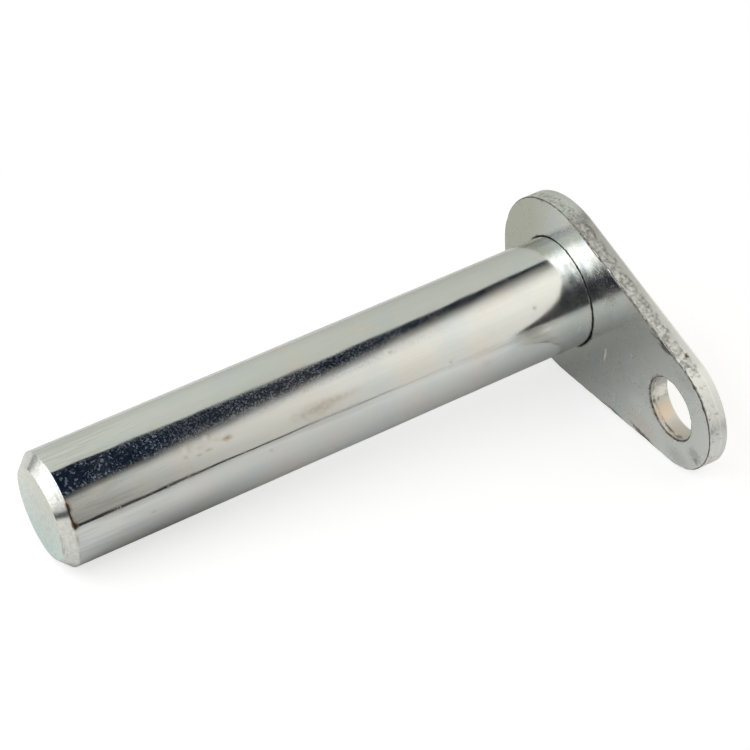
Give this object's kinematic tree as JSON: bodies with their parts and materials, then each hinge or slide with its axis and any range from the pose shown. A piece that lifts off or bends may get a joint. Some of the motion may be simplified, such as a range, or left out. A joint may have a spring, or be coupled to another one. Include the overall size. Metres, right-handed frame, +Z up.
{
  "type": "clevis pin",
  "caption": "Round steel pin with a chamfered lead-in end, and a teardrop plate welded on at the other, holed in its tail for a retaining bolt.",
  "frame": {"origin": "middle of the footprint box, on the bench that the pin lies on", "axes": "+Z up; +X along the bar from its free end towards the plate; the plate's tail points to -Y. The pin lies at rest on one flank of its plate and on the rim of its free end, so the bar dips towards its free end by 4.2 degrees"},
  "size_m": [0.1342, 0.0748, 0.0432],
  "materials": {
    "plated_bar": "turned steel bar, bright zinc plated, with light scuffs",
    "plated_plate": "punched steel plate, bright zinc plated, with rough sheared edges",
    "plated_weld": "rippled weld metal under bright zinc plate"
  },
  "bodies": {
    "root": {"pin_shaft": "plated_bar", "flag_plate": "plated_plate", "weld_bead": "plated_weld"}
  },
  "joints": []
}
